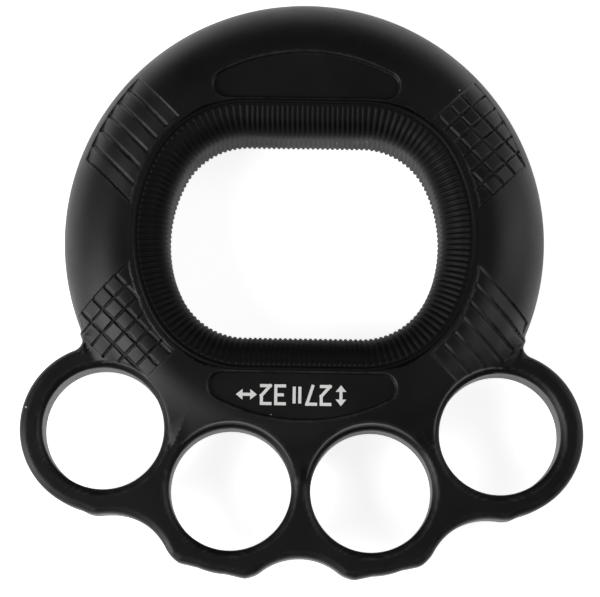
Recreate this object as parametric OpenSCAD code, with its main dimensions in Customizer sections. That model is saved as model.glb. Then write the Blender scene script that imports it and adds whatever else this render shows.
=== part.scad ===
// Hand grip strengthener: a thick palm ring with a ribbed oval opening, and a flat
// finger plate with four round finger holes, moulded as one piece of elastic rubber.
//
// It lies flat: +Z is the thickness and points to the printed face, +Y points from the
// finger plate to the palm. The moulding is divided at its four bends, so that its
// squeeze can be posed: the walls and the palm arch slide while the bends deform.

/* [Palm ring] */
// Outer radius of the palm ring
ring_r = 48; // [46:0.5:58]
// Thickness of the palm ring, which has a half-round outer rim
ring_h = 25; // [20:0.5:26]

/* [Palm opening] */
// Radius of the two side arcs of the opening
opening_r = 26.9; // [22:0.1:28]
// Half of the distance between the straight edges of the opening
opening_half_h = 19.9; // [19:0.1:21]
// Radius of the corners between the side arcs and the straight edges
opening_corner_r = 14; // [8:0.5:16]
// Radius of the rounding where the opening's wall turns into the faces
mouth_r = 6.5; // [3:0.25:7]

/* [Face recesses] */
// Flat land between the opening's rounding and the recess's straight edge
recess_land = 0.9; // [0.5:0.1:3]
// Distance by which the recess's arched edge lies outside the middle of the rim
recess_over_rim = 1; // [-1:0.1:2]
// Half of the recess's width
recess_half_w = 18.4; // [15:0.1:20]
// Depth of the recess
recess_depth = 1.2; // [0.5:0.1:2]

/* [Finger plate] */
// Thickness of the finger plate, which lies at half of the ring's thickness
plate_t = 12; // [8:0.5:16]
// Distance of the finger plate's start outside the recess's arched edge
plate_start_land = 0.8; // [0.5:0.1:1.2]
// Radius of the finger holes
finger_hole_r = 12; // [10:0.25:12.5]
// Rubber between neighbouring finger holes where they are closest
finger_web = 3.8; // [3:0.1:6]
// Rubber between the finger plate's start and the middle pair of finger holes
hole_land = 2.5; // [1.5:0.1:6]
// Angle by which the outer finger holes fan up from the middle pair
fan_angle = 24.8; // [20:0.2:27]
// Width of rubber around a finger hole
loop_w = 4.55; // [3.5:0.05:5.5]
// Radius of the hollows between the fingertip ends of the loops
scallop_r = 12.2; // [10:0.1:14]
// Distance by which a hollow stays outside the finger holes' reach
scallop_land = 1.3; // [0.8:0.1:2.5]
// Half of the width of a loop's flattened end
knuckle_half_w = 7.8; // [5:0.1:9]
// Radius of the fillet between the ring and the outer loops
neck_fillet_r = 2.5; // [1:0.1:5]

/* [Squeeze] */
// Travel of a wall along its diagonal when the palm is squeezed all the way down
squeeze_travel = 12; // [8:0.5:12]
// Spare length of a bend beyond what the full squeeze takes up
bend_spare = 1.3; // [0.8:0.1:2]
// Height of the two rigid walls beside the palm
wall_h = 18.4; // [12:0.2:18.4]
// Half of the width of the palm arch between its shoulders
arch_half_w = 21; // [20.5:0.1:24]

/* [Print] */
// Height of the printed digits
digit_h = 4.1; // [3:0.1:4.6]
// Width of the printed strokes
stroke_w = 0.6; // [0.4:0.05:0.8]
// Thickness of the print
print_t = 0.15; // [0.1:0.05:0.3]
// Shift of the printed row from the middle of the ring
print_shift = 2.1; // [0:0.1:3]

/* [Hidden] */

$fn = 96;
// Overshoot of a cut past the surface it opens
cut = 1;
rubber = "#232326";
ink = "#f2f2f0";

finger_pitch = 2 * finger_hole_r + finger_web;
recess_edge = opening_half_h + mouth_r + recess_land;
rim_r = ring_h / 2;
rim_centre_r = ring_r - rim_r;
mid_z = ring_h / 2;
recess_arc_r = rim_centre_r + recess_over_rim;
plate_start_r = recess_arc_r + plate_start_land;
finger_drop = sqrt(pow(plate_start_r + hole_land + finger_hole_r, 2) - pow(finger_pitch / 2, 2));
scallop_web = finger_hole_r + scallop_land;

// The corners' circles touch the side arcs from inside and the straight edges
corner_y = opening_half_h - opening_corner_r;
corner_x = sqrt(pow(opening_r - opening_corner_r, 2) - pow(corner_y, 2));

// The recess's end circles touch its straight edge and its arched edge
end_b = recess_edge - recess_half_w + recess_arc_r;
end_r = sqrt(pow(end_b, 2) - pow(recess_half_w, 2) - pow(recess_edge, 2) + pow(recess_arc_r, 2))
    - end_b;
end_x = recess_half_w - end_r;
end_y = recess_edge + end_r;
recess_floor_z = ring_h - recess_depth;

loop_r = finger_hole_r + loop_w;
// A loop's flattened end is a little nearer than its round, and its corners a little farther
knuckle_in = 0.25;
knuckle_out = 1.05;
inner_hole = [finger_pitch / 2, -finger_drop];
outer_hole = inner_hole + finger_pitch * [cos(fan_angle), sin(fan_angle)];
inner_facing = -90 + fan_angle / 2;
outer_facing = -90 + fan_angle;
knuckle_d = loop_r - knuckle_in;
corner_d = sqrt(pow(loop_r + knuckle_out, 2) - pow(knuckle_half_w, 2));
inner_corner_half_w = sqrt(pow(loop_r + knuckle_out, 2) - pow(knuckle_d, 2));
plate_low_y = inner_hole[1] + knuckle_d * sin(inner_facing)
    - inner_corner_half_w * cos(inner_facing);

// The frame's origin is under the middle of the whole outline
centre_y = -(ring_r + plate_low_y) / 2;

bend_h = squeeze_travel * sqrt(0.5) + bend_spare;
wall_y = wall_h / 2;
arch_y = wall_y + bend_h;

// Everything below is drawn about the ring's centre and moved into the frame by this
module in_frame() {
    translate([0, centre_y, 0]) children();
}

function polar(r, angle) = r * [cos(angle), sin(angle)];

module both_sides() {
    children();
    mirror([1, 0, 0]) children();
}

module both_faces() {
    children();
    translate([0, 0, ring_h]) mirror([0, 0, 1]) children();
}

// What lies between two heights and two distances from the middle line
module between(x0, x1, y0, y1) {
    intersection() {
        children();
        translate([x0, y0, -2 * cut]) cube([x1 - x0, y1 - y0, ring_h + 4 * cut]);
    }
}

// ---- palm ring ----

// A solid disc with a half-round rim, as far out as the given radius
module ring_blank(outer = ring_r + cut) {
    rotate_extrude($fn = 180) union() {
        square([rim_centre_r, ring_h]);
        intersection() {
            translate([rim_centre_r, mid_z]) circle(r = rim_r);
            square([outer, ring_h]);
        }
    }
}

// Section of the opening, from its axis to a wall of the given radius, with both mouths
module opening_section(wall) {
    difference() {
        translate([0, -cut]) square([wall + mouth_r, ring_h + 2 * cut]);
        translate([wall, mouth_r]) square([mouth_r + cut, ring_h - 2 * mouth_r]);
        for (z = [mouth_r, ring_h - mouth_r])
            translate([wall + mouth_r, z]) circle(r = mouth_r);
    }
}

module side_opening() {
    rotate_extrude($fn = 180) opening_section(opening_r);
}

module corner_opening() {
    translate([corner_x, corner_y, 0]) rotate_extrude() opening_section(opening_corner_r);
}

// The opening behind its upper straight edge
module straight_opening() {
    translate([-corner_x, 0, 0]) rotate([90, 0, 90])
        linear_extrude(2 * corner_x) opening_section(opening_half_h);
}

module recess_outline() {
    intersection() {
        circle(r = recess_arc_r, $fn = 180);
        polygon([[-end_x, recess_edge], [end_x, recess_edge], [end_x, end_y],
            1.2 * [end_x, end_y], 1.2 * [-end_x, end_y], [-end_x, end_y]]);
    }
    for (x = [-end_x, end_x]) translate([x, end_y]) circle(r = end_r);
}

module recess() {
    translate([0, 0, recess_floor_z]) linear_extrude(recess_depth + cut) recess_outline();
}

// A stretch of the ring above its upper bends
module arch(x0, x1, outer = ring_r + cut) {
    difference() {
        between(x0, x1, arch_y, ring_r) ring_blank(outer);
        straight_opening();
        both_sides() between(corner_x, ring_r, 0, ring_r) corner_opening();
        both_faces() recess();
    }
}

// A wall lies beside the corners, where the opening is one round bore
module wall() {
    difference() {
        between(0, ring_r, -wall_y, wall_y) ring_blank();
        side_opening();
    }
}

// A bend lies between a wall and an arch and follows the corner
module bend() {
    difference() {
        between(corner_x, ring_r, wall_y, arch_y) ring_blank();
        corner_opening();
    }
}

// ---- finger plate ----

// Round loop around a finger hole, with a flattened end from one side to the other
module loop(hole, facing, low, high) {
    translate(hole) rotate(facing) {
        circle(r = loop_r);
        intersection() {
            circle(r = loop_r + knuckle_out);
            translate([0, low]) square([knuckle_d, high - low]);
        }
    }
}

// Rubber between two neighbouring loops, out to the corners of their flattened ends
module web(hole_a, facing_a, hole_b, facing_b) {
    polygon([hole_a,
        hole_a + polar(corner_d, facing_a) + polar(knuckle_half_w, facing_a + 90),
        hole_b + polar(corner_d, facing_b) - polar(knuckle_half_w, facing_b + 90),
        hole_b]);
}

module scallop(hole_a, hole_b, facing) {
    translate((hole_a + hole_b) / 2 + polar(scallop_web + scallop_r, facing))
        circle(r = scallop_r);
}

// Fillet that touches the ring's outline and an outer loop
module neck_fillet() {
    d = norm(outer_hole);
    ring_d = ring_r + neck_fillet_r;
    loop_d = loop_r + neck_fillet_r;
    along = (ring_d * ring_d - loop_d * loop_d + d * d) / (2 * d);
    to_hole = outer_hole / d;
    centre = along * to_hole
        + sqrt(ring_d * ring_d - along * along) * [-to_hole[1], to_hole[0]];
    difference() {
        polygon([centre * ring_r / ring_d, centre,
            outer_hole + (centre - outer_hole) * loop_r / loop_d, outer_hole * 0.9]);
        translate(centre) circle(r = neck_fillet_r);
    }
}

module plate_outline() {
    mirrored_inner = [-inner_hole[0], inner_hole[1]];
    difference() {
        union() {
            both_sides() {
                loop(inner_hole, inner_facing, -knuckle_half_w, knuckle_half_w);
                loop(outer_hole, outer_facing, -knuckle_half_w, 0);
                web(inner_hole, inner_facing, outer_hole, outer_facing);
                polygon([[0, 0], [0, inner_hole[1]], inner_hole, outer_hole]);
                neck_fillet();
            }
            web(mirrored_inner, -180 - inner_facing, inner_hole, inner_facing);
        }
        scallop(mirrored_inner, inner_hole, -90);
        both_sides() scallop(inner_hole, outer_hole, outer_facing);
    }
}

// The plate and the ring's lower rim, out of which it grows
module plate() {
    difference() {
        union() {
            translate([0, 0, mid_z - plate_t / 2]) linear_extrude(plate_t) intersection() {
                plate_outline();
                translate([-2 * ring_r, -3 * ring_r])
                    square([4 * ring_r, 3 * ring_r - arch_y]);
            }
            between(-ring_r, ring_r, -ring_r, -arch_y) ring_blank();
        }
        translate([0, 0, -cut]) cylinder(r = plate_start_r, h = ring_h + 2 * cut, $fn = 180);
        both_sides() for (hole = [inner_hole, outer_hole])
            translate([hole[0], hole[1], -cut])
                cylinder(r = finger_hole_r, h = ring_h + 2 * cut);
    }
}

// ---- print, which reads with the finger plate up ----

digit_w = 0.56 * digit_h;
digit_gap = 0.5;
arrow_l = digit_h;
head_l = 1.3;
head_half_w = 1.05;
divider_l = 0.8 * digit_h;
divider_half_gap = 0.55;
// Places along the row of the squeeze arrow, its digits, the divider, the other digits
// and the other arrow
row = [-9.7, -5.3, -1.1, 3.6, 8.8];
row_y = -(recess_edge + recess_arc_r) / 2 + 0.3;

module printed(x) {
    color(ink) in_frame() translate([-print_shift, row_y, recess_floor_z]) rotate(180)
        translate([x, 0, 0]) linear_extrude(print_t) children();
}

// A straight stroke with square ends
module stroke(a, b) {
    d = b - a;
    translate(a) rotate(atan2(d[1], d[0])) translate([-stroke_w / 2, -stroke_w / 2])
        square([norm(d) + stroke_w, stroke_w]);
}

module strokes(points) {
    for (i = [1 : len(points) - 1]) stroke(points[i - 1], points[i]);
}

// Digits are drawn in a cell whose corners are the middles of its strokes
cell = [(digit_w - stroke_w) / 2, (digit_h - stroke_w) / 2];
function at(x, y) = [x * cell[0], y * cell[1]];

module digit_two() {
    strokes([at(-1, 1), at(1, 1), at(1, 0.1), at(-1, -1), at(1, -1)]);
}

module digit_three() {
    strokes([at(-1, 1), at(1, 1), at(1, -1), at(-1, -1)]);
    stroke(at(-0.5, 0), at(1, 0));
}

module digit_seven() {
    strokes([at(-1, 1), at(1, 1), at(-0.3, -1)]);
}

// Two digits side by side
module digit_pair() {
    for (i = [0, 1])
        translate([(i - 0.5) * (digit_w + digit_gap), 0]) children(i);
}

module double_arrow() {
    square([arrow_l - 2 * head_l + stroke_w, stroke_w], center = true);
    for (turn = [0, 180]) rotate(turn)
        polygon([[arrow_l / 2, 0], [arrow_l / 2 - head_l, head_half_w],
            [arrow_l / 2 - head_l, -head_half_w]]);
}

// ---- sub-parts ----

module rubber_part() { color(rubber) in_frame() children(); }
module flip_x() { mirror([1, 0, 0]) children(); }
module flip_y() { mirror([0, 1, 0]) children(); }

module finger_plate() { rubber_part() plate(); }
module base_arch() { rubber_part() flip_y() arch(-ring_r, ring_r, plate_start_r); }
module left_wall() { rubber_part() flip_x() wall(); }
module right_wall() { rubber_part() wall(); }
module palm_arch() { rubber_part() arch(-arch_half_w, arch_half_w); }
module left_shoulder() { rubber_part() arch(-ring_r, -arch_half_w); }
module right_shoulder() { rubber_part() arch(arch_half_w, ring_r); }
module lower_left_bend() { rubber_part() flip_x() flip_y() bend(); }
module lower_right_bend() { rubber_part() flip_y() bend(); }
module upper_left_bend() { rubber_part() flip_x() bend(); }
module upper_right_bend() { rubber_part() bend(); }
module squeeze_arrow() { printed(row[0]) rotate(90) double_arrow(); }
module squeeze_digits() { printed(row[1]) digit_pair() { digit_two(); digit_seven(); } }
module print_divider() {
    printed(row[2]) for (x = [-divider_half_gap, divider_half_gap])
        translate([x, 0]) square([stroke_w, divider_l], center = true);
}
module across_digits() { printed(row[3]) digit_pair() { digit_three(); digit_two(); } }
module across_arrow() { printed(row[4]) double_arrow(); }

finger_plate();
base_arch();
left_wall();
right_wall();
palm_arch();
left_shoulder();
right_shoulder();
lower_left_bend();
lower_right_bend();
upper_left_bend();
upper_right_bend();
squeeze_arrow();
squeeze_digits();
print_divider();
across_digits();
across_arrow();
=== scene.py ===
# %% [markdown]
# # A hand grip strengthener in black rubber
#
# The real one is a single moulding of soft rubber: a fat palm ring with a ribbed opening,
# and a flat finger plate with four holes that grows out of the ring's lower rim. The
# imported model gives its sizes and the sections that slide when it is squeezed. This
# lesson gives it the flowing surface, the ribs, the gripping patches and the finish.

# %% Load the frame
import math

import bmesh
import bpy
import numpy as np
from mathutils import Matrix, Vector


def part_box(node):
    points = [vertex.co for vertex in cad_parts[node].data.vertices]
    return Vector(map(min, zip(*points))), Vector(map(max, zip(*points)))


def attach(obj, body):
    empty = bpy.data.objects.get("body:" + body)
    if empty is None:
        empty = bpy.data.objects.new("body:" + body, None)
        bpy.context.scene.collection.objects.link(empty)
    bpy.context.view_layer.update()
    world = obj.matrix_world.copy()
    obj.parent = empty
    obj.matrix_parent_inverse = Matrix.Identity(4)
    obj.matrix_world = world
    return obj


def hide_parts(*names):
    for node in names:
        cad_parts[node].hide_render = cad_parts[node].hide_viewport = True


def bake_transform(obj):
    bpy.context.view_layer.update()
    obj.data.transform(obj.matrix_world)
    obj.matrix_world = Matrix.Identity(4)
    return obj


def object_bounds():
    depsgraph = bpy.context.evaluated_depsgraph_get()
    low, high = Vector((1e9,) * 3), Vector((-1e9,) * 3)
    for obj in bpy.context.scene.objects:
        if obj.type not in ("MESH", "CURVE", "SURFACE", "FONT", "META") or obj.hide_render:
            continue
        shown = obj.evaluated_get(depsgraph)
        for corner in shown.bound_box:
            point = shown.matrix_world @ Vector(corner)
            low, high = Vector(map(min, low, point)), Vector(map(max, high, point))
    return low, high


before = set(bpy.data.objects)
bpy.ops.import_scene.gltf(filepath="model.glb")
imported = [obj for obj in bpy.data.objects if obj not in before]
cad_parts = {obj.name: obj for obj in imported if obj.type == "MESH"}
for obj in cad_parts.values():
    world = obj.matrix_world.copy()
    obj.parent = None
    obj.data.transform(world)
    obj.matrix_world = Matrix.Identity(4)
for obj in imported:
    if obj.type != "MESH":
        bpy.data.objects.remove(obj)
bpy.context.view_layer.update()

# %% [markdown]
# ## The maker's drawing
#
# The moulding is easiest to think of in millimetres, about the ring's centre and the
# middle of its thickness. The right wall of the frame lies evenly about that centre, so
# its box says where the centre is. One matrix takes every finished piece to the frame.

# %% The ring's place and sizes
wall_low, wall_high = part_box("right_wall")
ring_radius = wall_high.x * 1000
ring_height = (wall_high.z - wall_low.z) * 1000
centre = Vector((0, (wall_low.y + wall_high.y) / 2, (wall_low.z + wall_high.z) / 2))
to_frame = Matrix.Translation(centre) @ Matrix.Scale(0.001, 4)
print("ring radius", round(ring_radius, 2), "height", round(ring_height, 2), "centre", centre)

# %% Sizes of the moulding, in millimetres
crest = ring_height / 2 - 0.3  # half height of the ring's crest; the lip stands proud of it
crest_radius = ring_radius - crest
side_radius, straight_half, corner_radius, mouth_radius = 26.9, 19.9, 14.0, 6.5
plate_half, hole_radius, loop_radius = 6.0, 12.0, 16.55
fan = math.radians(24.8)
inner_hole = Vector((13.9, -49.9))
outer_hole = inner_hole + 27.8 * Vector((math.cos(fan), math.sin(fan)))
lining_back = mouth_radius + 0.3  # where the moulding ends behind the ribbed lining
corner_y = straight_half - corner_radius
corner_x = math.sqrt((side_radius - corner_radius) ** 2 - corner_y**2)
print("outer hole", outer_hole, "opening's corner centre", corner_x, corner_y)

# %% [markdown]
# ## A form to settle on
#
# The ring and the plate flow into each other, and no operator gives that blend. So the
# whole moulding is written down as a form: a function that says how far a point is from
# the skin, less than nothing inside. Two forms are joined or cut with a round in between.
# A rough blank is then settled onto the form, as clay is pressed into a mould.

# %% Rounded joins and cuts
def joined(a, b, radius):
    """Two forms made one, with a fillet between them."""
    return np.maximum(radius, np.minimum(a, b)) - np.hypot(
        np.maximum(radius - a, 0), np.maximum(radius - b, 0)
    )


def crossed(a, b, radius):
    """What two forms share, with a rounded edge."""
    return np.minimum(-radius, np.maximum(a, b)) + np.hypot(
        np.maximum(a + radius, 0), np.maximum(b + radius, 0)
    )


def polygon_form(x, y, corners):
    """Distance from a polygon's outline, less than nothing inside."""
    far = np.full(x.shape, 1e9)
    inside = np.zeros(x.shape, bool)
    for (ax, ay), (bx, by) in zip(corners, corners[1:] + corners[:1]):
        ex, ey, wx, wy = bx - ax, by - ay, x - ax, y - ay
        t = np.clip((wx * ex + wy * ey) / (ex * ex + ey * ey), 0, 1)
        far = np.minimum(far, np.hypot(wx - ex * t, wy - ey * t))
        if ey:
            inside ^= ((ay <= y) != (by <= y)) & (x < ax + wy * ex / ey)
    return np.where(inside, -far, far)


# %% The opening's outline
def past_opening(x, y):
    """Distance outwards from the opening's outline: two side arcs, two straights, four corners."""
    ax, ay = np.abs(x), np.abs(y)
    beside = ay * corner_x < ax * corner_y
    at_corner = np.hypot(ax - corner_x, ay - corner_y) - corner_radius
    return np.where(
        beside, np.hypot(ax, ay) - side_radius, np.where(ax < corner_x, ay - straight_half, at_corner)
    )


# %% [markdown]
# ## The finger plate's outline
#
# Each hole has a loop of rubber with a flattened end, and hollows between the ends keep
# the fingertips apart. Both halves are alike, so the outline is worked out for the right
# half and read with the distance from the middle line.

# %% Loops, webs and hollows
def polar(radius, angle):
    return Vector((radius * math.cos(angle), radius * math.sin(angle)))


inner_facing, outer_facing = -math.pi / 2 + fan / 2, -math.pi / 2 + fan
knuckle, knuckle_half, knuckle_corner = loop_radius - 0.25, 7.8, loop_radius + 1.05
corner_reach = math.sqrt(knuckle_corner**2 - knuckle_half**2)
shoulder_half = math.sqrt(knuckle_corner**2 - knuckle**2)
past_middle = -5  # the halves overlap, so that no seam shows between them
end_overlap = 3.0  # how near an end's middle the webs reach, so that no seam shows


def end_corners(hole, facing, side):
    """Three points along a flattened end, from its corner to near its middle."""
    aside = side * polar(1, facing + math.pi / 2)
    return [
        tuple(hole + polar(along, facing) + across * aside)
        for along, across in (
            (corner_reach, knuckle_half), (knuckle, shoulder_half), (knuckle, end_overlap)
        )
    ]


def loop_form(x, y, hole, facing, low, high):
    dx, dy = x - hole.x, y - hole.y
    along = dx * math.cos(facing) + dy * math.sin(facing)
    across = dy * math.cos(facing) - dx * math.sin(facing)
    reach = np.hypot(dx, dy)
    end = crossed(reach - knuckle_corner, along - knuckle, 0.3)
    end = np.maximum(end, np.maximum(across - high, low - across))
    return np.minimum(reach - loop_radius, end)


# %% The fillet at the neck, which touches the ring and the outer loop
neck_radius = 2.5
ring_reach, loop_reach, hole_reach = ring_radius + neck_radius, loop_radius + neck_radius, outer_hole.length
towards = outer_hole / hole_reach
neck_along = (ring_reach**2 - loop_reach**2 + hole_reach**2) / (2 * hole_reach)
neck_aside = math.sqrt(ring_reach**2 - neck_along**2)
neck_centre = neck_along * towards + neck_aside * Vector((-towards.y, towards.x))
neck_on_ring = neck_centre * ring_radius / ring_reach
neck_on_loop = outer_hole + (neck_centre - outer_hole) * loop_radius / loop_reach
hollow_radius, hollow_corner = 12.2, 1.0
middle_hollow = Vector((0, inner_hole.y - 25.5))
side_hollow = (inner_hole + outer_hole) / 2 + polar(13.3 + hollow_radius, outer_facing)
print("neck fillet centre", neck_centre)


def plate_outline(x, y):
    """Distance from the finger plate's outline, with its holes still filled."""
    ax = np.abs(x)
    middle_end = end_corners(inner_hole, inner_facing, -1)
    inner_end = end_corners(inner_hole, inner_facing, 1)
    outer_end = end_corners(outer_hole, outer_facing, -1)
    under_middle = [
        (past_middle, inner_hole.y), (past_middle, middle_end[0][1]), *middle_end, tuple(inner_hole),
    ]
    under_side = [tuple(inner_hole), *inner_end[::-1], *outer_end, tuple(outer_hole)]
    above = [
        (past_middle, 0), (past_middle, inner_hole.y),
        tuple(inner_hole), tuple(outer_hole), tuple(neck_on_ring),
    ]
    neck = [tuple(neck_on_ring), tuple(neck_centre), tuple(neck_on_loop), tuple(outer_hole * 0.9)]
    neck_hollow = neck_radius - np.hypot(ax - neck_centre.x, y - neck_centre.y)
    outline = np.minimum.reduce([
        loop_form(ax, y, inner_hole, inner_facing, -knuckle_half, knuckle_half),
        loop_form(ax, y, outer_hole, outer_facing, -knuckle_half, 0),
        polygon_form(ax, y, under_middle),
        polygon_form(ax, y, under_side),
        polygon_form(ax, y, above),
        np.maximum(polygon_form(ax, y, neck), neck_hollow),
    ])
    for hollow in (middle_hollow, side_hollow):
        away = hollow_radius - np.hypot(ax - hollow.x, y - hollow.y)
        outline = crossed(outline, away, hollow_corner)
    return outline


# %% [markdown]
# ## Sunken faces
#
# Above and below the opening a shallow field with an arched outer edge is sunk into the
# crest. The print lies on its floor, so the floor's height comes from the print.

# %% The sunken fields
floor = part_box("print_divider")[0].z * 1000 - ring_height / 2
field_edge, field_arc, field_end = 27.3, 36.5, Vector((15.74, 29.96))
end_radius = field_arc - field_end.length


def field_outline(x, y):
    ax, ay = np.abs(x), np.abs(y)
    past_end = (ax > field_end.x) & (ax * field_end.y > ay * field_end.x)
    body = np.maximum(field_edge - ay, np.hypot(ax, ay) - field_arc)
    return np.where(past_end, np.hypot(ax - field_end.x, ay - field_end.y) - end_radius, body)


print("field floor is", round(crest - floor, 2), "mm under the crest")

# %% [markdown]
# ## Gripping patches
#
# Four patches give the palm a hold. Each lies beside a diagonal of the ring: two are rows
# of slats that overlap like shingles, and two are cut into tiles. A patch is sunk a
# little, and its slats or tiles rise from it. They are relief in the form rather than a
# bump, because they are deep enough to throw small shadows and catch light on their edges.

# %% Slats and tiles
column, patch_start, patch_end = 3.17, 1.3, 20.3
palm_rim, finger_rim, lip_land = 46.3, 45.2, 7.9  # where patches end, outwards and inwards
tile_rows = (32.2, 35.3, 38.5, 41.8, 46.6)
patch_border = 0.4  # width of the step down into a patch
on_face = 4  # patches lie only where the skin is this far from the middle of the thickness


def edge_fade(inside, width):
    """Rises smoothly from 0 to 1 over a width."""
    t = np.clip(inside / width, 0, 1)
    return t * t * (3 - 2 * t)


def groove(distance, half_width):
    """1 on a line, falling smoothly to 0 on both sides of it."""
    t = np.clip(1 - np.abs(distance) / half_width, 0, 1)
    return t * t * (3 - 2 * t)


def patch_depth(x, y):
    """How deep the patches are sunk into the skin."""
    depth = np.zeros(x.shape)
    for side, end in ((-1, 1), (1, -1), (1, 1), (-1, -1)):
        out = (side * x + end * y) / math.sqrt(2)
        across = (side * x - end * y) / math.sqrt(2)
        far = palm_rim - np.hypot(x, y) if end > 0 else finger_rim - out
        near = past_opening(x, y) - lip_land
        inside = np.minimum.reduce([across - patch_start, patch_end - across, out, far, near])
        place = (across - patch_start) / column
        share = place - np.floor(place)
        edge = np.minimum(share, 1 - share) * column
        if side * end < 0:
            relief = 0.06 + 0.4 * share + 0.34 * groove(edge, 0.5)  # a slat leans, then drops
        else:
            row_edge = np.minimum.reduce([np.abs(out - row) for row in tile_rows])
            number = np.floor(place) + 3 * np.searchsorted(tile_rows, out)
            lean = 0.16 * np.sin(2.4 * number) * (share - 0.5)
            relief = 0.12 + lean + 0.42 * np.maximum(groove(edge, 0.4), groove(row_edge, 0.48))
        depth += np.where(inside > 0, relief * edge_fade(inside, patch_border), 0)
    return depth


# %% The whole form
field_rim, field_floor_rim, bore_rim, chamfer = 0.35, 0.2, 0.35, 1
flow_least, flow_more = 1.6, 4.5  # the slope up to the ring is tightest at necks and holes


def moulding_form(points):
    x, y, z = points[:, 0], points[:, 1], points[:, 2]
    height = np.abs(z)
    out = np.hypot(x, y) - crest_radius
    ring = np.where(out > 0, np.hypot(out, z), height) - crest
    outline = plate_outline(x, y)
    plate = crossed(outline, height - plate_half, 1.5)
    from_inner, from_outer, from_neck = (
        np.hypot(np.abs(x) - place.x, y - place.y) for place in (inner_hole, outer_hole, neck_centre)
    )
    from_hole = np.minimum(from_inner, from_outer)
    open_neck, open_hole = edge_fade(from_neck - 3, 13), edge_fade(from_hole - hole_radius + 1, 9)
    flow = flow_least + flow_more * open_neck * open_hole
    skin = joined(ring, plate, flow)
    skin = skin + patch_depth(x, y) * (height > on_face)
    bore = hole_radius + np.clip(height - plate_half + chamfer, 0, chamfer)
    skin = crossed(skin, bore - from_hole, bore_rim)
    field = crossed(field_outline(x, y), floor - height, field_floor_rim)
    skin = crossed(skin, -field, field_rim)
    return np.maximum(skin, lining_back - past_opening(x, y))


def slope(points, reach=0.02):
    """Which way the form rises at each point."""
    rise = np.zeros_like(points)
    for corner in ((1, 1, 1), (1, -1, -1), (-1, 1, -1), (-1, -1, 1)):
        corner = np.array(corner, float)
        rise += corner * moulding_form(points + reach * corner)[:, None]
    return rise / (4 * reach)


# %% [markdown]
# ## The blank
#
# The blank only has to have the right holes and be within a few millimetres of the form.
# The rim is a circle spun about the ring's axis, the rest are discs and one flat plate.
# A Remesh modifier makes one skin of them, a Boolean bores the holes, and a second
# Remesh gives the even mesh that the settling needs.

# %% Stock for the blank
def disc(bm, radius, half, at=(0, 0), height=0.0):
    bmesh.ops.create_cone(
        bm, cap_ends=True, segments=96, radius1=radius, radius2=radius, depth=2 * half,
        matrix=Matrix.Translation((at[0], at[1], height)),
    )


def object_of(bm, name):
    mesh = bpy.data.meshes.new(name)
    bm.to_mesh(mesh)
    bm.free()
    made = bpy.data.objects.new(name, mesh)
    bpy.context.scene.collection.objects.link(made)
    return made


stock = bmesh.new()
rim = bmesh.ops.create_circle(
    stock, segments=48, radius=crest,
    matrix=Matrix.Translation((crest_radius, 0, 0)) @ Matrix.Rotation(math.pi / 2, 4, "X"),
)["verts"]
bmesh.ops.spin(
    stock, geom=rim + list({e for v in rim for e in v.link_edges}), axis=(0, 0, 1), cent=(0, 0, 0),
    angle=2 * math.pi, steps=144, use_merge=True,
)
disc(stock, crest_radius + 0.4, crest)
holes = [Vector((side * hole.x, hole.y)) for side in (-1, 1) for hole in (inner_hole, outer_hole)]
for hole in holes:
    disc(stock, loop_radius + 0.2, plate_half, hole)
fan_out = polar(13.6, outer_facing)
right_edge = [(30, -18), outer_hole + fan_out, inner_hole + fan_out, inner_hole + Vector((0, -13.6))]
left_edge = [(-x, y) for x, y in reversed(right_edge)]
base = stock.faces.new([stock.verts.new((x, y, -plate_half)) for x, y in right_edge + left_edge])
raised = bmesh.ops.extrude_face_region(stock, geom=[base])["geom"]
top = [g for g in raised if isinstance(g, bmesh.types.BMVert)]
bmesh.ops.translate(stock, verts=top, vec=(0, 0, 2 * plate_half))
bmesh.ops.recalc_face_normals(stock, faces=stock.faces)
blank = object_of(stock, "blank")
print("stock faces:", len(blank.data.polygons))

# %% Cutters for the holes, the opening and the sunken fields
cutters = bmesh.new()
for hole in holes:
    disc(cutters, hole_radius, 20, hole)


def trimmed_disc(bm, radius, half, height, planes):
    """A disc cut off at planes, each a point and the direction that is taken away."""
    part = bmesh.new()
    disc(part, radius, half, height=height)
    for point, away in planes:
        cut = bmesh.ops.bisect_plane(
            part, geom=part.verts[:] + part.edges[:] + part.faces[:],
            plane_co=point, plane_no=away, clear_outer=True,
        )["geom_cut"]
        bmesh.ops.edgeloop_fill(part, edges=[g for g in cut if isinstance(g, bmesh.types.BMEdge)])
    bmesh.ops.recalc_face_normals(part, faces=part.faces)
    mesh = bpy.data.meshes.new("part")
    part.to_mesh(mesh)
    part.free()
    bm.from_mesh(mesh)
    bpy.data.meshes.remove(mesh)


straight = straight_half + lining_back
straights = [((0, s * straight, 0), (0, s, 0)) for s in (1, -1)]
trimmed_disc(cutters, side_radius + lining_back, 20, 0, straights)
for end in (-1, 1):
    for face in (-1, 1):
        sides = [((s * (field_end.x + end_radius), 0, 0), (s, 0, 0)) for s in (-1, 1)]
        near = ((0, end * field_edge, 0), (0, -end, 0))
        trimmed_disc(cutters, field_arc, 4, face * (floor + 4), [near, *sides])
cutter = object_of(cutters, "cutters")

# %% One skin
def add_remesh(obj, size):
    remesh = obj.modifiers.new("one skin", "REMESH")
    remesh.mode = "VOXEL"
    remesh.voxel_size = size


def worked_in(obj):
    """The object's mesh with its modifiers worked in."""
    return bpy.data.meshes.new_from_object(obj.evaluated_get(bpy.context.evaluated_depsgraph_get()))


cell = 0.48
add_remesh(blank, 0.8)
bores = blank.modifiers.new("bores", "BOOLEAN")
bores.operation, bores.object, bores.solver = "DIFFERENCE", cutter, "EXACT"
add_remesh(blank, cell)
skin = worked_in(blank)
bpy.data.objects.remove(blank)
bpy.data.objects.remove(cutter)
print("skin:", len(skin.vertices), "points")

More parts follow.
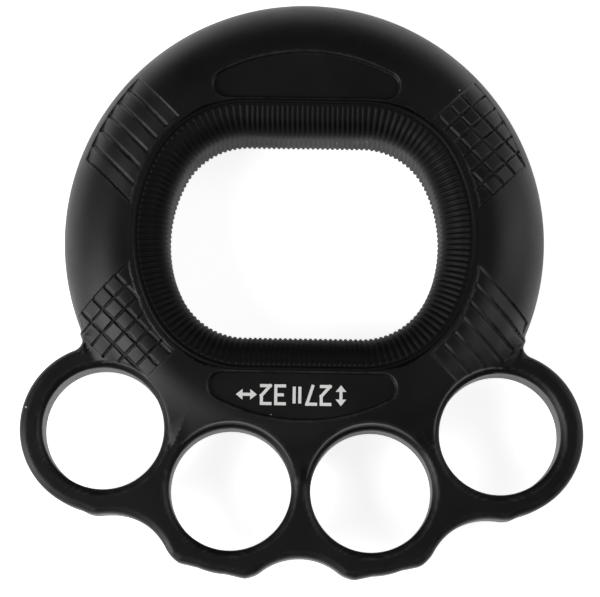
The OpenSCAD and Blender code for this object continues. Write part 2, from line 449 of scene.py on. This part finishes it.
# %% [markdown]
# ## Settling the blank
#
# Each point moves down the slope of the form until it lies on it. smooth_vert evens the
# mesh out between the moves. The patches and the rims of the sunken fields are finer than
# the mesh, so their edges are divided once more before the last move.

# %% Press the blank onto the form
def points_of(bm):
    return np.array([v.co for v in bm.verts], float).reshape(-1, 3)


def settle(bm, moves):
    points = points_of(bm)
    for _ in range(moves):
        rise = slope(points)
        steep = np.maximum((rise**2).sum(1), 0.3)
        points -= rise * (np.clip(moulding_form(points), -0.8, 0.8) / steep)[:, None]
    for v, point in zip(bm.verts, points):
        v.co = point
    return points


moulding = bmesh.new()
moulding.from_mesh(skin)
bpy.data.meshes.remove(skin)
for _ in range(3):
    settle(moulding, 2)
    for _ in range(2):
        bmesh.ops.smooth_vert(
            moulding, verts=moulding.verts, factor=0.5, use_axis_x=True, use_axis_y=True, use_axis_z=True
        )
points = settle(moulding, 2)
rough = np.zeros(len(points), bool)
for dx, dy in ((0.4, 0), (-0.4, 0), (0, 0.4), (0, -0.4)):
    rough |= patch_depth(points[:, 0] + dx, points[:, 1] + dy) > 0
rough &= np.abs(points[:, 2]) > on_face
rough |= (np.abs(field_outline(points[:, 0], points[:, 1])) < 0.7) & (np.abs(points[:, 2]) > 8)
moulding.verts.ensure_lookup_table()
chosen = [e for e in moulding.edges if rough[e.verts[0].index] and rough[e.verts[1].index]]
bmesh.ops.subdivide_edges(moulding, edges=chosen, cuts=1, use_grid_fill=True)
points = settle(moulding, 3)
off = np.abs(moulding_form(points))
print("moulding:", len(moulding.verts), "points")
print("distance from the form in mm: mean", round(off.mean(), 4), "worst", round(off.max(), 3))

# %% [markdown]
# ## Cutting the moulding where it moves
#
# A squeeze brings the palm down and pushes the walls out, so the moulding is cut into six
# sections: two that ride on bodies and four between them. A piece is cut with
# bisect_plane and its open ends are filled. The cuts don't show, because every piece
# takes its normals from the form, and the lining's from before it was cut.

# %% Cut and place one section
cut_y = 19.4  # just inside the opening's straight edges, so a section lies on one side
SECTIONS = {
    "base": ((None, -cut_y), None), "lower_left": ((-cut_y, 0), -1), "lower_right": ((-cut_y, 0), 1),
    "upper_left": ((0, cut_y), -1), "upper_right": ((0, cut_y), 1), "palm": ((cut_y, None), None),
}


def section_of(whole, name, span, side):
    """A copy of a mesh between two levels of y, on one side of the middle line."""
    bm = whole.copy()
    if side:
        wrong = [v for v in bm.verts if v.co.x * side < 0]
        bmesh.ops.delete(bm, geom=wrong, context="VERTS")
    ends = []
    for level, away in zip(span, (-1, 1)):
        if level is not None:
            cut = bmesh.ops.bisect_plane(
                bm, geom=bm.verts[:] + bm.edges[:] + bm.faces[:],
                plane_co=(0, level, 0), plane_no=(0, away, 0), clear_outer=True,
            )["geom_cut"]
            rim = [g for g in cut if isinstance(g, bmesh.types.BMEdge)]
            ends += bmesh.ops.holes_fill(bm, edges=rim, sides=0)["faces"]
    loose = [v for v in bm.verts if not v.link_faces]
    bmesh.ops.delete(bm, geom=loose, context="VERTS")
    for face in bm.faces:
        face.smooth = True
    for face in ends:
        face.smooth = False
    return object_of(bm, name)


def give_normals(obj, rise):
    """Each smooth corner takes its point's direction; the filled ends keep their faces'."""
    mesh = obj.data
    rise = rise / np.maximum(np.linalg.norm(rise, axis=1), 1e-9)[:, None]
    normals = [None] * len(mesh.loops)
    for face in mesh.polygons:
        for corner in face.loop_indices:
            smooth = rise[mesh.loops[corner].vertex_index]
            normals[corner] = tuple(smooth if face.use_smooth else face.normal)
    mesh.normals_split_custom_set(normals)


def triangles(obj):
    return sum(len(face.vertices) - 2 for face in obj.data.polygons)


moulding_pieces = {}
for name, (span, side) in SECTIONS.items():
    piece = section_of(moulding, "moulding_" + name, span, side)
    give_normals(piece, slope(np.array([v.co for v in piece.data.vertices], float)))
    piece.data.transform(to_frame)
    moulding_pieces[name] = piece
    print(piece.name, triangles(piece), "triangles")
moulding.free()

# %% [markdown]
# ## The ribbed lining
#
# The opening's mouth is rounded and ribbed all the way round, and a thin lip stands up
# where the ribs begin. One section of it is spun into a ring of many steps, each step is
# laid along the opening's outline, and the ribs are pressed in along the section's own
# direction. There are 160 ribs, and eight steps make one. The normals are kept from the
# whole lining before it is cut, so that no cut shows.

# %% The section of the lining
lip_place, lip_radius = mouth_radius + 0.12, 0.45
straight_wall = ring_height / 2 - mouth_radius


def section_points():
    """Half of the section from the wall's middle to the back: place, height and rib depth."""
    rows = [(0.0, straight_wall * k / 3, 1.0) for k in range(3)]
    for k in range(9):
        turn = math.pi / 2 * k / 9
        place = mouth_radius - mouth_radius * math.cos(turn)
        height = straight_wall + (mouth_radius - 0.15) * math.sin(turn)
        rows.append((place, height, 1.0 if k < 7 else 0.75))
    foot = ring_height / 2 - lip_radius
    rows.append((lip_place - 0.78, foot + 0.34, 0.3))
    for k in range(7):
        turn = math.pi * (1 - k / 6)
        rows.append((lip_place + lip_radius * math.cos(turn), foot + lip_radius * math.sin(turn), 0.0))
    rows.append((lip_place + 0.62, crest - 0.35, 0.0))
    rows.append((lip_place + 0.5, crest - 2.0, 0.0))
    return rows


half = section_points()
section = [(s, -h, d) for s, h, d in reversed(half[1:])] + half
print("the section has", len(section), "points")

# %% Spin it and lay it along the outline
ribs = 160
steps = ribs * 8
side_angle = math.atan2(corner_y, corner_x)
lengths = [side_radius * side_angle, corner_radius * (math.pi / 2 - side_angle), corner_x]
quarter = sum(lengths)


def on_outline(length):
    """A place on the opening's outline and its outward direction, anticlockwise from +x."""
    turns, rest = divmod(length / quarter, 2)
    back = rest > 1
    along = (2 - rest if back else rest) * quarter
    if along < lengths[0]:
        angle, middle, radius = along / side_radius, Vector((0, 0)), side_radius
    elif along < lengths[0] + lengths[1]:
        angle = math.pi / 2 - (lengths[0] + lengths[1] - along) / corner_radius
        middle, radius = Vector((corner_x, corner_y)), corner_radius
    else:
        angle, middle, radius = math.pi / 2, Vector((quarter - along, straight_half)), 0
    out = Vector((math.cos(angle), math.sin(angle)))
    place = middle + out * radius
    if back:
        place.x, out.x = -place.x, -out.x
    if turns % 2:
        place, out = -place, -out
    return place, out


def section_key(s, h):
    """Finds a spun point's row in the section again."""
    return round(s * 50), round(h * 50)


lining = bmesh.new()
spin_radius, rib_depth = 100.0, 0.34
chain = [lining.verts.new((spin_radius + s, 0, h)) for s, h, _ in section]
edges = [lining.edges.new(pair) for pair in zip(chain, chain[1:] + chain[:1])]
bmesh.ops.spin(
    lining, geom=chain + edges, axis=(0, 0, 1), cent=(0, 0, 0),
    angle=2 * math.pi, steps=steps, use_merge=True,
)
shares = {section_key(s, h): d for s, h, d in section}
for v in lining.verts:
    turn = math.atan2(v.co.y, v.co.x) % (2 * math.pi)
    s, h = v.co.xy.length - spin_radius, v.co.z
    place, out = on_outline(turn / (2 * math.pi) * 4 * quarter)
    share = shares.get(section_key(s, h), 0.0)
    valley = (0.5 + 0.5 * math.cos(ribs * turn)) ** 1.6
    lean = math.atan2(max(abs(h) - straight_wall, 0), mouth_radius - min(s, mouth_radius))
    push = rib_depth * share * valley
    s, h = s + push * math.cos(lean), h - math.copysign(push * math.sin(lean), h)
    v.co = (*(place + out * s), h)
bmesh.ops.recalc_face_normals(lining, faces=lining.faces)
lining.normal_update()
kept = lining.verts.layers.float_vector.new("kept")
for v in lining.verts:
    v[kept] = v.normal
lining_pieces = {}
for name, (span, side) in SECTIONS.items():
    piece = section_of(lining, "lining_" + name, span, side)
    stored = [value.vector for value in piece.data.attributes["kept"].data]
    give_normals(piece, np.array(stored, float))
    piece.data.attributes.remove(piece.data.attributes["kept"])
    piece.data.transform(to_frame)
    lining_pieces[name] = piece
    print(piece.name, triangles(piece), "triangles")
lining.free()

# %% [markdown]
# ## Riding on the bodies
#
# The base of the moulding stays with the finger plate and the palm's arch with the palm.
# The four sections between are baked in place and are not tied to a body.

# %% Sections, the bodies at their ends and the frame's parts they hide
RIDES = {
    "base": ("finger_plate", None, ("finger_plate", "base_arch")),
    "lower_left": ("finger_plate", "left_wall", ("lower_left_bend", "left_wall")),
    "lower_right": ("finger_plate", "right_wall", ("lower_right_bend", "right_wall")),
    "upper_left": ("left_wall", "palm", ("upper_left_bend", "left_shoulder")),
    "upper_right": ("right_wall", "right_shoulder", ("upper_right_bend", "right_shoulder")),
    "palm": ("palm", None, ("palm_arch",)),
}
still = 2  # millimetres beside the walls' middle
for name, (first, second, nodes) in RIDES.items():
    for piece in (moulding_pieces[name], lining_pieces[name]):
        if second:
            low, high = SECTIONS[name][0]
            end = to_frame @ Vector((0, high - (still if high == 0 else 0), 0))
            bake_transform(piece)
        else:
            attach(piece, first)
    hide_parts(*nodes)
print("sections riding:", len(RIDES))

# %% [markdown]
# ## Shared effects
#
# The rubber and the print share a fine grain, dust and a worn edge. Each effect is a node
# group with its own inputs, so that every material can set how much of it shows.

# %% A small helper for nodes
def new_group(name, inputs, outputs):
    group = bpy.data.node_groups.new(name, "ShaderNodeTree")
    for label, kind, value in inputs:
        socket = group.interface.new_socket(label, in_out="INPUT", socket_type=kind)
        if value is not None:
            socket.default_value = value
    for label, kind in outputs:
        group.interface.new_socket(label, in_out="OUTPUT", socket_type=kind)
    return group, group.nodes.new("NodeGroupInput"), group.nodes.new("NodeGroupOutput")


def add(tree, kind, values=None, **settings):
    node = tree.nodes.new(kind)
    for key, value in settings.items():
        setattr(node, key, value)
    for socket, value in (values or {}).items():
        if isinstance(value, bpy.types.NodeSocket):
            tree.links.new(value, node.inputs[socket])
        else:
            node.inputs[socket].default_value = value
    return node


# %% Moulded grain
grain, into, out = new_group(
    "Moulded grain",
    [("Place", "NodeSocketVector", None), ("Fineness", "NodeSocketFloat", 1.0)],
    [("Height", "NodeSocketFloat"), ("Cloud", "NodeSocketFloat")],
)
place = into.outputs["Place"]
scale = add(grain, "ShaderNodeMath", {0: into.outputs["Fineness"], 1: 5200.0}, operation="MULTIPLY")
pores = add(grain, "ShaderNodeTexNoise", {
    "Vector": place, "Scale": scale.outputs[0], "Detail": 2.0, "Roughness": 0.55,
})
scuff = add(grain, "ShaderNodeTexNoise", {"Vector": place, "Scale": 900.0, "Detail": 3.0})
cloud = add(grain, "ShaderNodeTexNoise", {
    "Vector": place, "Scale": 70.0, "Detail": 3.0, "Roughness": 0.6,
})
both = add(grain, "ShaderNodeMath", {
    0: scuff.outputs["Fac"], 1: 0.5, 2: pores.outputs["Fac"],
}, operation="MULTIPLY_ADD")
grain.links.new(both.outputs[0], out.inputs["Height"])
grain.links.new(cloud.outputs["Fac"], out.inputs["Cloud"])

# %% Dust specks
dust, into, out = new_group(
    "Dust",
    [
        ("Place", "NodeSocketVector", None), ("Spacing", "NodeSocketFloat", 330.0),
        ("Amount", "NodeSocketFloat", 0.06),
    ],
    [("Mask", "NodeSocketFloat")],
)
specks = add(dust, "ShaderNodeTexVoronoi", {
    "Vector": into.outputs["Place"], "Scale": into.outputs["Spacing"],
}, feature="F1")
pick = add(dust, "ShaderNodeSeparateColor", {"Color": specks.outputs["Color"]})
chosen = add(dust, "ShaderNodeMath", {
    0: pick.outputs["Red"], 1: into.outputs["Amount"],
}, operation="LESS_THAN")
size = add(dust, "ShaderNodeMapRange", {"Value": pick.outputs["Green"], "To Min": 0.02, "To Max": 0.07})
near = add(dust, "ShaderNodeMath", {
    0: specks.outputs["Distance"], 1: size.outputs[0],
}, operation="LESS_THAN")
mask = add(dust, "ShaderNodeMath", {0: chosen.outputs[0], 1: near.outputs[0]}, operation="MULTIPLY")
dust.links.new(mask.outputs[0], out.inputs["Mask"])

# %% Worn edges
wear, into, out = new_group(
    "Worn edge",
    [
        ("Place", "NodeSocketVector", None), ("Edge", "NodeSocketFloat", 0.0),
        ("Amount", "NodeSocketFloat", 1.0),
    ],
    [("Mask", "NodeSocketFloat")],
)
broken = add(wear, "ShaderNodeTexNoise", {
    "Vector": into.outputs["Place"], "Scale": 420.0, "Detail": 4.0,
})
patchy = add(wear, "ShaderNodeMapRange", {
    "Value": broken.outputs["Fac"], "From Min": 0.3, "From Max": 0.65,
})
edge = add(wear, "ShaderNodeMath", {
    0: into.outputs["Edge"], 1: patchy.outputs[0],
}, operation="MULTIPLY")
much = add(wear, "ShaderNodeMath", {
    0: edge.outputs[0], 1: into.outputs["Amount"],
}, operation="MULTIPLY", use_clamp=True)
wear.links.new(much.outputs[0], out.inputs["Mask"])
print("effects:", [g.name for g in bpy.data.node_groups])

# %% [markdown]
# ## Black rubber
#
# The moulding is matt black silicone with a soft sheen. The worn-edge effect needs to know
# where the edges are, so each moulding piece carries an attribute, read from the form: it
# rises fastest in every direction at once where the skin turns over a tight edge.

# %% Mark the edges
def mark_edges(obj):
    back = to_frame.inverted()
    points = np.array([back @ v.co for v in obj.data.vertices], float)
    reach = 0.25
    bend = -6 * moulding_form(points)
    for axis in np.eye(3):
        bend += moulding_form(points + reach * axis) + moulding_form(points - reach * axis)
    sharp = np.clip((bend / reach**2 - 0.25) / 1.1, 0, 1)
    layer = obj.data.attributes.new("edge", "FLOAT", "POINT")
    layer.data.foreach_set("value", sharp.astype(np.float32))
    return sharp.mean()


for piece in moulding_pieces.values():
    print(piece.name, "edge share", round(float(mark_edges(piece)), 3))


# %% The rubber's material
def mixed(tree, factor, first, second):
    """Two colours mixed by a mask."""
    node = tree.nodes.new("ShaderNodeMix")
    node.data_type = "RGBA"
    tree.links.new(factor, node.inputs[0])
    for socket, value in ((node.inputs[6], first), (node.inputs[7], second)):
        if isinstance(value, bpy.types.NodeSocket):
            tree.links.new(value, socket)
        else:
            socket.default_value = (*value, 1)
    return node.outputs[2]


def finish(name, tone, worn_tone, gloss, bump, wear_amount, dust_amount, specular, fineness=1.0):
    """A moulded or printed finish with grain, dust and worn edges."""
    material = bpy.data.materials.new(name)
    material.use_nodes = True
    tree = material.node_tree
    shader = tree.nodes["Principled BSDF"]
    place = add(tree, "ShaderNodeTexCoord").outputs["Object"]
    marked = add(tree, "ShaderNodeAttribute", attribute_name="edge")
    skin = add(tree, "ShaderNodeGroup", {}, node_tree=grain)
    specks = add(tree, "ShaderNodeGroup", {}, node_tree=dust)
    worn = add(tree, "ShaderNodeGroup", {}, node_tree=wear)
    for node in (skin, specks, worn):
        tree.links.new(place, node.inputs["Place"])
    skin.inputs["Fineness"].default_value = fineness
    specks.inputs["Amount"].default_value = dust_amount
    worn.inputs["Amount"].default_value = wear_amount
    tree.links.new(marked.outputs["Fac"], worn.inputs["Edge"])
    colour = mixed(tree, skin.outputs["Cloud"], [c * 0.8 for c in tone], [c * 1.25 for c in tone])
    colour = mixed(tree, worn.outputs["Mask"], colour, worn_tone)
    colour = mixed(tree, specks.outputs["Mask"], colour, (0.55, 0.55, 0.53))
    tree.links.new(colour, shader.inputs["Base Color"])
    rough = add(tree, "ShaderNodeMapRange", {
        "Value": skin.outputs["Cloud"], "From Min": 0.3, "From Max": 0.7,
        "To Min": gloss - 0.05, "To Max": gloss + 0.06,
    })
    tree.links.new(rough.outputs[0], shader.inputs["Roughness"])
    relief = add(tree, "ShaderNodeBump", {
        "Height": skin.outputs["Height"], "Distance": 0.00003, "Strength": bump,
    })
    tree.links.new(relief.outputs[0], shader.inputs["Normal"])
    shader.inputs["Specular IOR Level"].default_value = specular
    return material


black, worn_black = (0.0035, 0.0035, 0.0038), (0.03, 0.03, 0.031)
moulding_rubber = finish(
    "moulding_rubber", black, worn_black,
    gloss=0.45, bump=0.8, wear_amount=0.8, dust_amount=0.05, specular=0.3,
)
lining_rubber = finish(
    "lining_rubber", black, worn_black,
    gloss=0.58, bump=0.4, wear_amount=0.0, dust_amount=0.03, specular=0.15,
)
for pieces, material in ((moulding_pieces, moulding_rubber), (lining_pieces, lining_rubber)):
    for piece in pieces.values():
        piece.data.materials.append(material)
print("rubbers:", moulding_rubber.name, lining_rubber.name)

# %% [markdown]
# ## The print
#
# The digits and arrows are a thin layer of white ink, pad-printed on the floor of the
# lower field. The frame's own solids have the right shape, so they stay and only get the
# ink's material: slightly warm white, a little rough, with faint grain.

# %% White ink
ink = finish(
    "white_ink", (0.82, 0.82, 0.8), (0.7, 0.7, 0.68),
    gloss=0.55, bump=0.25, wear_amount=0.0, dust_amount=0.0, specular=0.4, fineness=0.5,
)
print_nodes = ("squeeze_arrow", "squeeze_digits", "print_divider", "across_digits", "across_arrow")
for name in print_nodes:
    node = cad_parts[name]
    node.data.materials.clear()
    node.data.materials.append(ink)
print("printed:", print_nodes)

# %% [markdown]
# ## Floor, light and camera
#
# The grip lies on a plain pale floor under two large soft lights, one at each side, so
# that the rims shine and the crest stays dark. The camera looks down on it from a little
# below the fingers' end.

# %% The floor
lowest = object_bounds()[0].z
bm = bmesh.new()
under = Matrix.Translation((0, 0, lowest - 0.0002))
bmesh.ops.create_grid(bm, x_segments=1, y_segments=1, size=3.0, matrix=under)
ground = object_of(bm, "floor")
paper = bpy.data.materials.new("pale_paper")
paper.use_nodes = True
white = paper.node_tree.nodes["Principled BSDF"]
white.inputs["Base Color"].default_value = (0.9, 0.9, 0.9, 1)
white.inputs["Roughness"].default_value = 0.8
white.inputs["Emission Color"].default_value = (1, 1, 1, 1)
white.inputs["Emission Strength"].default_value = 0.85
ground.data.materials.append(paper)


# %% Soft lights
def soft_light(name, place, width, height, watts):
    lamp = bpy.data.lights.new(name, "AREA")
    lamp.shape, lamp.size, lamp.size_y, lamp.energy = "RECTANGLE", width, height, watts
    made = bpy.data.objects.new(name, lamp)
    made.location = place
    towards_grip = Vector((0, 0, 0.01)) - Vector(place)
    made.rotation_euler = towards_grip.to_track_quat("-Z", "Y").to_euler()
    bpy.context.scene.collection.objects.link(made)


soft_light("left_light", (-0.5, -0.2, 0.35), 0.3, 0.6, 4.2)
soft_light("right_light", (0.55, 0.1, 0.35), 0.3, 0.6, 1.4)
world = bpy.data.worlds.new("studio")
world.use_nodes = True
world.node_tree.nodes["Background"].inputs["Color"].default_value = (1, 1, 1, 1)
world.node_tree.nodes["Background"].inputs["Strength"].default_value = 0.07
bpy.context.scene.world = world
bpy.context.scene.view_settings.view_transform = "Standard"

# %% The camera
distance, tilt, roll = 0.6, math.radians(6.5), math.radians(0.87)
aim = to_frame @ Vector((-0.7, -11.3, 0))
lens = bpy.data.cameras.new("camera")
lens.lens, lens.sensor_width = 180, 36
camera = bpy.data.objects.new("camera", lens)
bpy.context.scene.collection.objects.link(camera)
turn = Matrix.Rotation(tilt, 4, "X") @ Matrix.Rotation(roll, 4, "Z")
camera.matrix_world = Matrix.Translation(aim) @ turn @ Matrix.Translation((0, 0, distance))
bpy.context.scene.camera = camera
print("camera at", camera.matrix_world.translation)
